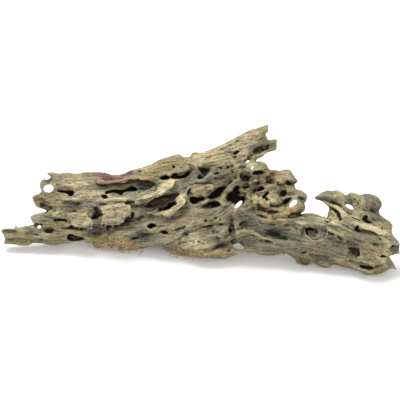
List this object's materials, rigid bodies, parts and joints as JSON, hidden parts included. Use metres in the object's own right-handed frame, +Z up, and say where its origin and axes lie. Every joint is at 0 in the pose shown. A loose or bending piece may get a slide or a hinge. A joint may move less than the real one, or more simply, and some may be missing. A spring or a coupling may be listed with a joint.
{
  "type": "honeycomb wood",
  "caption": "Weathered hollow log, worn to ridges, plates and tunnels, with a broken stub; lies on flat worn feet as a display or tank ornament.",
  "frame": {"origin": "centre of the footprint's bounding box, on the surface that the log lies on", "axes": "+X along the log towards its thick right end, +Z up, -Y towards the seen side"},
  "size_m": [0.3982, 0.1264, 0.1089],
  "materials": {
    "weathered_wood": "dry, weathered, matt"
  },
  "bodies": {
    "root": {"honeycomb_wood": "weathered_wood"}
  },
  "joints": []
}
